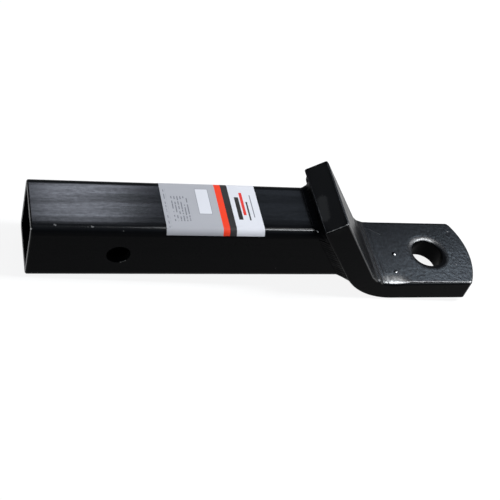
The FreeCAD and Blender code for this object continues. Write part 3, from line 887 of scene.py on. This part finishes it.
@dataclass
class TongueBar:
    """Bent flat bar whose edges are drawn down beside the bend, with a torn sheared end."""

    node: str = "tongue_bar"
    roll_depth: float = 2.3 * MM
    far_roll_depth: float = 0.3 * MM
    roll_width: float = 12.0 * MM
    roll_power: float = 2.2
    roll_middle: float = 7.0 * MM
    roll_plateau: float = 2.0 * MM
    roll_reach: float = 15.0 * MM
    roll_fade: float = 9.0 * MM
    roll_hold: float = 0.25
    score_step: float = 1.25 * MM
    score_turn: float = math.radians(2.5)
    end_scores: tuple[float, ...] = (0.2, 0.4, 0.6, 0.8)
    bend_gap: float = 0.08 * MM
    # Places along the bar from the bend's end, and heights, in millimetres
    press_ridges: tuple[tuple[float, float], ...] = ((-12.5, 0.18), (-6.0, 0.26), (0.5, 0.20))
    ridge_width: float = 1.9 * MM
    edge_fall: float = 0.26 * MM
    edge_width: float = 1.0 * MM
    grain_step: float = 0.5 * MM
    grain_height: float = 0.075 * MM
    grain_least: float = 0.35
    grain_scale: float = 420.0
    grain_nose: float = 20.0 * MM
    grain_side: Span = (0.3, 0.7)
    grain_side_share: float = 0.7
    grain_gap: float = 0.02 * MM
    level_gap: float = 0.03 * MM
    tear_depth: float = 0.4 * MM
    tear_waves: Span = (70.0, 160.0)
    tear_gap: float = 0.02 * MM
    flat_angle: float = math.radians(0.02)
    paint: BarPaint = BarPaint(
        name="bar_paint",
        marks=(
            Mark((214.0, 24.0, -23.0), (222.9, 18.2, -23.0), 0.45, 0.4, 0.06),
            # The next two marks are painted sheen on the sheared end face: a lighter patch and a faint wash
            # across it, drawn as traces of bare metal
            Mark((147.6, -2.0, 37.2), (146.0, -18.5, 36.2), 5.4, 5.0, 0.055),
            Mark((150.7, -25.0, 39.2), (150.7, 25.0, 39.2), 12.0, 2.0, 0.017),
        ),
    )

    @staticmethod
    def _cut(shape: Shape, point: Vector, normal: Vector) -> None:
        """Score the skin along a plane."""
        skin = shape.verts[:] + shape.edges[:] + shape.faces[:]
        bmesh.ops.bisect_plane(shape, geom=skin, dist=CUT_GAP, plane_co=point, plane_no=normal)

    def _score_bend(self, shape: Shape) -> None:
        """Score the inside of the bend across its turn, and round it again."""
        centre = PLACES.bend_centre
        reach = BEND_RADIUS + self.roll_fade
        for step in range(1, int(BAR_SLOPE / self.score_turn)):
            turn = step * self.score_turn
            inside = [face for face in shape.faces if self._from_axis(face.calc_center_median()) < reach]
            edges = {edge for face in inside for edge in face.edges}
            verts = {vert for face in inside for vert in face.verts}
            bmesh.ops.bisect_plane(
                shape,
                geom=[*verts, *edges, *inside],
                dist=CUT_GAP,
                plane_co=centre,
                plane_no=Vector((math.cos(turn), 0.0, -math.sin(turn))),
            )
        for vert in shape.verts:
            turn = self._turn(vert.co)
            off_skin = abs(self._from_axis(vert.co) - BEND_RADIUS)
            if 0.0 < turn < BAR_SLOPE and off_skin < self.bend_gap:
                vert.co.x = centre.x - BEND_RADIUS * math.sin(turn)
                vert.co.z = centre.z - BEND_RADIUS * math.cos(turn)

    @staticmethod
    def _from_axis(place: Vector) -> float:
        """Distance of a point from the axis of the bend."""
        return (place - PLACES.bend_centre).xz.length

    @staticmethod
    def _turn(place: Vector) -> float:
        """Angle round the bend, from the platform's end of it."""
        offset = place - PLACES.bend_centre
        return math.atan2(-offset.x, -offset.z)

    def _score(self, shape: Shape) -> None:
        """Score the skin where it is going to be pushed about."""
        steps = int(self.roll_width / self.score_step)
        rim = PLACES.bar_half - BAR_EDGE_RADIUS
        offsets = [rim - self.edge_width, *(rim - self.score_step * step for step in range(steps))]
        centre = PLACES.bend_centre
        for offset in offsets:
            for side in (-offset, offset):
                self._cut(shape, Vector((0.0, side, 0.0)), Vector((0.0, 1.0, 0.0)))
        for step in range(int(self.roll_reach / self.score_step) + 2):
            self._cut(shape, centre + Vector((step * self.score_step, 0.0, 0.0)), Vector((1.0, 0.0, 0.0)))
            self._cut(shape, centre + PLACES.arm_up * step * self.score_step, PLACES.arm_up)
        for share in self.end_scores:
            depth = PLACES.back_normal * -PLACES.bar_thickness * share
            self._cut(shape, PLACES.arm_end + depth, PLACES.back_normal)

    def _along_and_below(self, place: Vector) -> tuple[float, float]:
        """Where a point lies on the bend's side of the bar.

        Args:
            place: Point of the bar.

        Returns:
            The distance past the bend's end, towards the nose, and the depth below the inside skin.
        """
        offset = place - PLACES.bend_centre
        turn = self._turn(place)
        if turn <= 0.0:
            return offset.x, PLACES.platform - place.z
        if turn <= BAR_SLOPE:
            return -BEND_RADIUS * turn, self._from_axis(place) - BEND_RADIUS
        arm = offset.dot(PLACES.arm_up)
        return -BEND_RADIUS * BAR_SLOPE - arm, offset.dot(PLACES.back_normal) - BEND_RADIUS

    def _press(self, shape: Shape) -> None:
        """Draw the inside edges down, the near one most, and leave the ridges of the press tool."""
        for vert in shape.verts:
            along, below = self._along_and_below(vert.co)
            depth = self.far_roll_depth if vert.co.y > 0.0 else self.roll_depth
            inset = PLACES.bar_half - abs(vert.co.y)
            fade = 1.0 - smooth_step(below, self.roll_hold * self.roll_fade, self.roll_fade)
            share = max(0.0, 1.0 - inset / self.roll_width) ** self.roll_power
            near = 1.0 - smooth_step(abs(along - self.roll_middle), self.roll_plateau, self.roll_reach)
            fall = min(1.0, max(0.0, (BAR_EDGE_RADIUS + self.edge_width - inset) / self.edge_width))
            lift = -(depth * share * near + self.edge_fall * fall * (1.0 - near)) * fade
            if below < BAR_EDGE_RADIUS:
                pressed = 1.0 + smooth_step(-vert.co.y, 0.0, PLACES.bar_half)
                for middle, height in self.press_ridges:
                    rise = math.exp(-(((along - middle * MM) / self.ridge_width) ** 2))
                    lift += height * MM * pressed * rise
            turn = min(max(-along / BEND_RADIUS, 0.0), BAR_SLOPE)
            vert.co += Vector((math.sin(turn), 0.0, math.cos(turn))) * lift

    def _on_top(self, vert: bmesh.types.BMVert) -> bool:
        """Tell whether a corner of the mesh lies on the platform's top."""
        return abs(vert.co.z - PLACES.platform) < self.level_gap

    def _grain(self, shape: Shape) -> None:
        """Give the platform's top the dimples of its thick paint."""
        top = [face for face in shape.faces if all(map(self._on_top, face.verts))]
        skin: list[bmesh.types.BMVert | bmesh.types.BMEdge | bmesh.types.BMFace] = list(top)
        skin += {edge for face in top for edge in face.edges}
        skin += {vert for face in top for vert in face.verts}
        start = PLACES.bend_centre.x
        half = PLACES.bar_half
        _, bar_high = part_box(self.node)
        columns = int((bar_high.x - start) / self.grain_step)
        rows = int(2 * half / self.grain_step)
        planes = [
            (Vector((start + step * self.grain_step, 0.0, 0.0)), Vector((1.0, 0.0, 0.0)))
            for step in range(columns)
        ]
        planes += [
            (Vector((0.0, step * self.grain_step - half, 0.0)), Vector((0.0, 1.0, 0.0)))
            for step in range(rows)
        ]
        for point, normal in planes:
            cut = bmesh.ops.bisect_plane(
                shape, geom=skin, dist=self.grain_gap, plane_co=point, plane_no=normal
            )
            skin = cut["geom"]
        side_low, side_high = self.grain_side
        for vert in shape.verts:
            if self._on_top(vert):
                nose = smooth_step(vert.co.x, PLACES.hole_x, PLACES.hole_x + self.grain_nose)
                side = self.grain_side_share * smooth_step(-vert.co.y, side_low * half, side_high * half)
                share = self.grain_least + (1.0 - self.grain_least) * max(nose, side)
                vert.co.z += self.grain_height * share * noise.noise(vert.co * self.grain_scale)

    def _tear_end(self, shape: Shape) -> None:
        """Make the sheared end uneven, as torn steel is."""
        across, down = self.tear_waves
        for vert in shape.verts:
            above = (vert.co - PLACES.arm_end).dot(PLACES.arm_up)
            if above < -self.tear_gap:
                continue
            wave = noise.noise(Vector((vert.co.y * across, vert.co.z * down, 2.0)))
            vert.co -= PLACES.arm_up * self.tear_depth * (0.5 + 0.5 * wave)

    def build(self) -> bpy.types.Object:
        """Make the bar from its CAD skin and dress it.

        Returns:
            The piece that stands for the CAD node.
        """
        shape = merged_shape(self.node)
        bmesh.ops.dissolve_limit(shape, angle_limit=self.flat_angle, verts=shape.verts, edges=shape.edges)
        self._score(shape)
        self._score_bend(shape)
        self._grain(shape)
        self._press(shape)
        self._tear_end(shape)
        bmesh.ops.triangulate(shape, faces=[face for face in shape.faces if len(face.verts) > 4])
        piece = make_piece("dressed_tongue_bar", shape, BAR_SHARP)
        weighting = piece.modifiers.new("even_shading", "WEIGHTED_NORMAL")
        weighting.keep_sharp = True
        dress(piece, self.paint.material())
        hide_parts(self.node)
        return piece


@dataclass(frozen=True)
class Puddle:
    """Place where the weld metal piled up against the arm, in millimetres."""

    middle: Point
    up_arm: float
    off_arm: float
    across: float

    def add_to(self, shape: Shape) -> None:
        """Add the puddle as a ball that is stretched along the arm."""
        facing = PLACES.arm_up.to_track_quat("Z", "Y").to_matrix().to_4x4()
        size = Matrix.Diagonal((self.across * MM, self.off_arm * MM, self.up_arm * MM, 1.0))
        place = Matrix.Translation(Vector(self.middle) * MM)
        bmesh.ops.create_icosphere(shape, subdivisions=3, radius=1.0, matrix=place @ facing @ size)


@dataclass
class WeldRuns:
    """Weld metal round the joint, laid in ripples."""

    nodes: tuple[str, ...] = ("top_weld", "bottom_weld", "left_weld", "right_weld")
    grid: float = 0.4 * MM
    softenings: int = 3
    softening: float = 0.5
    ripple_pitch: float = 3.6 * MM
    ripple_height: float = 0.22 * MM
    ripple_bow: float = 3.6 * MM
    ripple_power: float = 1.6
    lumps: float = 0.42 * MM
    lump_grain: float = 140.0
    seat: float = 0.3 * MM
    # Gaps to the steel, in steps of the grid, that count as seated and in which the ripples rise
    seated: float = 0.6
    rising: Span = (0.5, 3.0)
    puddles: dict[str, tuple[Puddle, ...]] = field(
        default_factory=lambda: {
            "top_weld": (
                Puddle((149.6, 27.0, 24.1), 8.4, 2.4, 3.4),
                Puddle((149.3, 14.0, 24.5), 9.0, 2.8, 13.0),
                Puddle((149.3, -9.0, 24.5), 9.2, 2.6, 14.0),
                Puddle((149.6, -25.0, 24.0), 5.2, 2.8, 4.0),
            ),
        }
    )
    paint: BlackPaint = BlackPaint(
        name="weld_bead_paint",
        film=0.05,
        specular=0.01,
        peel_grain=900.0,
        peel_height=0.03 * MM,
        marks=(
            # Bright spot at the near end of the top run: worn paint and a painted glint in one
            Mark((141.6, -21.9, 25.4), (142.9, -22.9, 25.0), 0.55, 0.4, 0.9),
        ),
    )

    def _even_skin(self, node: str) -> Shape:
        """Even, softened skin of one run.

        Args:
            node: Name of the CAD node.

        Returns:
            A closed mesh of small quads.
        """
        shape = merged_shape(node)
        for puddle in self.puddles.get(node, ()):
            puddle.add_to(shape)
        mesh = bpy.data.meshes.new("weld_blank")
        shape.to_mesh(mesh)
        shape.free()
        blank = add_object("weld_blank", mesh)
        remesh = blank.modifiers.new("even_grid", "REMESH")
        remesh.mode = "VOXEL"
        remesh.voxel_size = self.grid
        even = bpy.data.meshes.new_from_object(blank.evaluated_get(bpy.context.evaluated_depsgraph_get()))
        shape = bmesh.new()
        shape.from_mesh(even)
        bpy.data.objects.remove(blank)
        for spare in (mesh, even):
            bpy.data.meshes.remove(spare)
        axes = {f"use_axis_{axis}": True for axis in "xyz"}
        for _ in range(self.softenings):
            bmesh.ops.smooth_vert(shape, verts=shape.verts, factor=self.softening, **axes)
        shape.normal_update()
        return shape

    def _around(self, place: Vector) -> float:
        """Distance round the joint from the middle of its top, to one side."""
        core = PLACES.shank_half - SHANK_CORNER
        side = abs(place.y)
        stretch = 1.0 / math.sin(BAR_SLOPE)
        quarter = SHANK_CORNER * math.pi / 2
        if abs(place.z) <= core:
            return core + quarter + (core - place.z) * stretch
        turn = math.atan2(max(side - core, 0.0), abs(place.z) - core)
        run = min(side, core) + SHANK_CORNER * turn
        whole = 2.0 * (core + quarter + core * stretch)
        return run if place.z > 0.0 else whole - run

    def _clear_of(self, place: Vector) -> tuple[float, float]:
        """Gaps from a point to the shank's skin and to the arm's back face."""
        core = PLACES.shank_half - SHANK_CORNER
        y, z = abs(place.y) - core, abs(place.z) - core
        skin = math.hypot(max(y, 0.0), max(z, 0.0)) + min(max(y, z), 0.0) - SHANK_CORNER
        axis = Vector((PLACES.joint_axis, 0.0, 0.0))
        return skin, (place - axis).dot(PLACES.back_normal)

    def _ripple(self, shape: Shape) -> None:
        """Raise the ripples on the outside, and sink the inside into the steel."""
        rise_low, rise_high = self.rising
        for vert in shape.verts:
            skin, face = self._clear_of(vert.co)
            if min(skin, face) < self.seated * self.grid:
                vert.co += vert.normal * self.seat
                continue
            lean = math.atan2(face, skin) - math.pi / 4
            phase = (self._around(vert.co) + self.ripple_bow * lean * lean) / self.ripple_pitch
            crest = 1.0 - abs(2.0 * (phase % 1.0) - 1.0) ** self.ripple_power
            lump = noise.noise(vert.co * self.lump_grain)
            held = smooth_step(min(skin, face), rise_low * self.grid, rise_high * self.grid)
            vert.co += vert.normal * held * (self.ripple_height * (crest - 0.5) + self.lumps * lump)

    def build(self) -> list[bpy.types.Object]:
        """Make the four runs and dress them.

        Returns:
            The pieces that stand for the CAD runs.
        """
        material = self.paint.material()
        pieces = []
        for node in self.nodes:
            shape = self._even_skin(node)
            self._ripple(shape)
            piece = make_piece(f"rippled_{node}", shape, BEAD_SHARP)
            dress(piece, material)
            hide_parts(node)
            pieces.append(piece)
        return pieces


@dataclass
class ShearBurr:
    """Thin lip of bright metal that the shear left along the near edge of the arm's end."""

    bead: float = 0.30 * MM
    knob: float = 0.62 * MM
    stations: int = 60
    corners: int = 10
    # How the lip's thickness goes along it: its wander, its tapered ends and the swell at its tip
    even_share: float = 0.8
    wander_share: float = 0.6
    wander_waves: float = 23.0
    wander_seed: Span = (1.5, 0.3)
    taper_least: float = 0.02
    taper_end: float = 0.97
    swell_share: float = 0.9
    swell_span: Span = (0.86, 0.98)
    paint: BlackPaint = BlackPaint(
        name="burr_metal",
        peel_height=0.02 * MM,
        marks=(
            Mark((144.2, -32.4, 34.6), (157.4, -31.9, 43.7), 0.9, 1.0, 0.6),
            Mark((157.0, -31.8, 43.4), None, 1.1, 0.6, 0.9),
        ),
    )

    def build(self) -> bpy.types.Object:
        """Sweep the lip and dress it.

        Returns:
            The piece.
        """
        inset = BAR_EDGE_RADIUS * (1.0 - math.sqrt(0.5))
        across = -PLACES.back_normal
        start = PLACES.arm_end - PLACES.arm_up * inset + across * inset
        start.y = inset - PLACES.bar_half
        length = PLACES.bar_thickness - 2.0 * BAR_EDGE_RADIUS + inset
        facing = across.to_track_quat("Z", "Y").to_matrix().to_4x4()
        sections = []
        for station in range(self.stations + 1):
            share = station / self.stations
            wander = noise.noise(Vector((share * self.wander_waves, *self.wander_seed)))
            taper = math.sqrt(max(self.taper_least, math.sin(math.pi * min(share, self.taper_end))))
            swell = self.swell_share * smooth_step(share, *self.swell_span)
            radius = self.bead * taper * (self.even_share + self.wander_share * wander + swell)
            place = Matrix.Translation(start + across * length * share)
            sections.append(place @ facing @ Matrix.Scale(radius, 4))
        shape = bmesh.new()
        sweep(shape, sections, self.corners)
        inward = Vector((0.0, self.knob / 2, 0.0))
        tip = Matrix.Translation(start + across * length - PLACES.arm_up * self.knob / 2 + inward)
        bmesh.ops.create_icosphere(shape, subdivisions=2, radius=self.knob, matrix=tip)
        piece = make_piece("shear_burr", shape, BEAD_SHARP)
        dress(piece, self.paint.material())
        return piece


@dataclass
class PaintNibs:
    """Specks of dirt that the paint ran over on the platform."""

    # Places along and across the platform, and radii, in millimetres
    spots: tuple[Point, ...] = (
        (229.0, -2.2, 1.9),
        (224.8, -20.5, 1.5),
        (286.2, 22.7, 0.7),
        (281.1, -13.0, 0.7),
    )
    flatness: float = 0.42
    paint: BarPaint = BarPaint(
        name="nib_paint",
        film=0.1,
        # The white bare colour and the marks below are painted highlights: glints on the lit sides of the
        # specks
        bare_and_glint_colour=(0.8, 0.8, 0.8, 1.0),
        peel_height=0.01 * MM,
        marks=(
            Mark((229.2, -3.3, -22.5), None, 0.95, 0.4, 0.9),
            Mark((225.0, -21.5, -22.6), None, 0.8, 0.4, 0.85),
            Mark((286.2, 22.5, -22.9), None, 0.5, 0.3, 0.4),
            Mark((281.1, -13.2, -22.9), None, 0.5, 0.3, 0.5),
        ),
    )

    def build(self) -> bpy.types.Object:
        """Make the specks as low domes and dress them.

        Returns:
            The piece.
        """
        shape = bmesh.new()
        for x, y, radius in self.spots:
            place = Matrix.Translation((x * MM, y * MM, PLACES.platform))
            size = Matrix.Diagonal((radius * MM, radius * MM, radius * MM * self.flatness, 1.0))
            bmesh.ops.create_icosphere(shape, subdivisions=3, radius=1.0, matrix=place @ size)
        piece = make_piece("paint_nibs", shape, BEAD_SHARP)
        dress(piece, self.paint.material())
        return piece


@dataclass
class ShankLabel:
    """Sheet label, shown as the CAD node with its print."""

    node: str = "shank_label"
    sheet: LabelPrint = LabelPrint()

    def build(self) -> bpy.types.Object:
        """Dress the label."""
        piece = frame["nodes"][self.node]
        dress(piece, self.sheet.material())
        return piece


@dataclass(frozen=True)
class SoftBox:
    """Studio lamp with an even rectangular face."""

    name: str
    towards: Point
    width: float
    height: float
    radiance: float
    distance: float = 1.3
    tint: Point = (1.0, 1.0, 1.0)

    def build(self, aim: Vector) -> None:
        """Hang the lamp.

        Args:
            aim: Point that it faces.
        """
        lamp = bpy.data.lights.new(self.name, "AREA")
        lamp.shape = "RECTANGLE"
        lamp.size = self.width
        lamp.size_y = self.height
        lamp.energy = self.radiance * math.pi * self.width * self.height
        lamp.color = self.tint
        hung = add_object(self.name, lamp)
        direction = Vector(self.towards).normalized()
        hung.location = aim + direction * self.distance
        hung.rotation_mode = "QUATERNION"
        hung.rotation_quaternion = direction.to_track_quat("Z", "Y")
        hung.visible_camera = False


@dataclass
class Studio:
    """Pale floor that the mount rests on, soft lamps and a dome that is white at the horizon."""

    aim: Vector = field(default_factory=lambda: Vector((0.118, 0.0, 0.0)))
    floor_size: float = 6.0
    floor_colour: Colour = (0.15, 0.15, 0.148, 1.0)
    floor_glow: float = 0.89
    floor_roughness: float = 0.9
    horizon: Colour = (1.0, 1.0, 1.0, 1.0)
    zenith: Colour = (0.126, 0.15, 0.19, 1.0)
    dome_end: float = 0.28
    lamps: tuple[SoftBox, ...] = (
        SoftBox("key_behind", (0.048, 0.68, 0.73), 0.165, 0.42, 2.95, tint=(0.82, 0.87, 1.0)),
        SoftBox("overhead", (0.38, 0.28, 0.88), 0.16, 0.18, 9.0),
        SoftBox("overhead_right", (0.53, -0.02, 0.85), 0.20, 1.0, 28.0, tint=(0.94, 0.97, 1.0)),
        SoftBox("behind_right", (0.58, 0.46, 0.68), 0.15, 0.12, 4.2, tint=(0.66, 0.83, 1.0)),
        SoftBox("right_side", (0.80, 0.19, 0.57), 0.50, 0.40, 4.0, tint=(0.94, 0.97, 1.0)),
    )

    def _floor(self) -> None:
        """Lay the floor under the open end of the shank and the heel of the platform."""
        shank_low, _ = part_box("shank_tube")
        bar_low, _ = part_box("tongue_bar")
        front = Vector((shank_low.x, 0.0, shank_low.z))
        heel = Vector((PLACES.bend_centre.x, 0.0, bar_low.z))
        fall = math.atan2(front.z - heel.z, heel.x - front.x)
        shape = bmesh.new()
        place = Matrix.Translation(heel) @ Matrix.Rotation(fall, 4, "Y")
        bmesh.ops.create_grid(shape, x_segments=1, y_segments=1, size=self.floor_size / 2, matrix=place)
        mesh = bpy.data.meshes.new("floor")
        shape.to_mesh(mesh)
        shape.free()
        floor = add_object("floor", mesh)
        mesh.materials.append(self._floor_paper())

    def _floor_paper(self) -> bpy.types.Material:
        """Pale paper that is lifted to white for the eye and for reflections, and keeps its shadow.

        Returns:
            The material of the floor.
        """
        material, graph = open_material("floor_paper")
        graph.surface(
            {
                "Base Color": self.floor_colour,
                "Roughness": self.floor_roughness,
                "Specular IOR Level": 0.0,
                "Emission Color": self._seen(graph),
                "Emission Strength": self.floor_glow,
            }
        )
        return material

    @staticmethod
    def _seen(graph: ShaderGraph) -> Socket:
        """One for rays from the eye and rays of reflections, and none for rays that light the mount."""
        path = graph.node("ShaderNodeLightPath").outputs
        seen = graph.most(path["Is Camera Ray"], path["Is Glossy Ray"])
        return graph.most(seen, path["Is Transmission Ray"])

    def _surround(self) -> None:
        """Set a dome that is white at the horizon and goes to a cool grey overhead."""
        world = bpy.data.worlds.new("studio_dome")
        world.use_nodes = True
        world.node_tree.nodes.clear()
        graph = ShaderGraph(world.node_tree)
        height = graph.split(graph.node("ShaderNodeTexCoord").outputs["Generated"])[2]
        colour = graph.blend(graph.ramp(height, 0.0, self.dome_end), self.horizon, self.zenith)
        background = graph.node("ShaderNodeBackground", {"Color": colour})
        graph.node("ShaderNodeOutputWorld", {"Surface": background.outputs["Background"]})
        bpy.context.scene.world = world

    def build(self) -> None:
        """Lay the floor, hang the lamps and set how colours are shown."""
        self._floor()
        self._surround()
        for lamp in self.lamps:
            lamp.build(self.aim)
        bpy.context.scene.view_settings.view_transform = "Standard"


@dataclass(frozen=True)
class ViewCamera:
    """Camera at the photograph's viewing angle, tilted sideways as it was held."""

    position: Point = (-0.1390, -0.4802, 0.5377)
    forward: Point = (0.31744, 0.61708, -0.72003)
    roll: float = math.radians(20.9)
    lens: float = 73.46
    sensor: float = 36.0
    clip_start: float = 0.01

    def build(self) -> None:
        """Set the camera up."""
        data = bpy.data.cameras.new("view_camera")
        data.lens = self.lens
        data.sensor_width = self.sensor
        data.clip_start = self.clip_start
        camera = add_object("view_camera", data)
        camera.location = self.position
        camera.rotation_mode = "QUATERNION"
        level = Vector(self.forward).to_track_quat("-Z", "Y")
        camera.rotation_quaternion = level @ Quaternion((0.0, 0.0, 1.0), self.roll)
        bpy.context.scene.camera = camera


def main() -> None:
    """Build the mount's looks, piece by piece, and then its studio."""
    logging.basicConfig(level=logging.INFO, format="%(name)s: %(message)s")
    made = [ShankTube().build(), TongueBar().build(), *WeldRuns().build()]
    made += [ShearBurr().build(), PaintNibs().build(), ShankLabel().build()]
    for piece in made:
        log.info("%s: %d faces", piece.name, len(piece.data.polygons))
    Studio().build()
    ViewCamera().build()


if __name__ == "__main__":
    main()
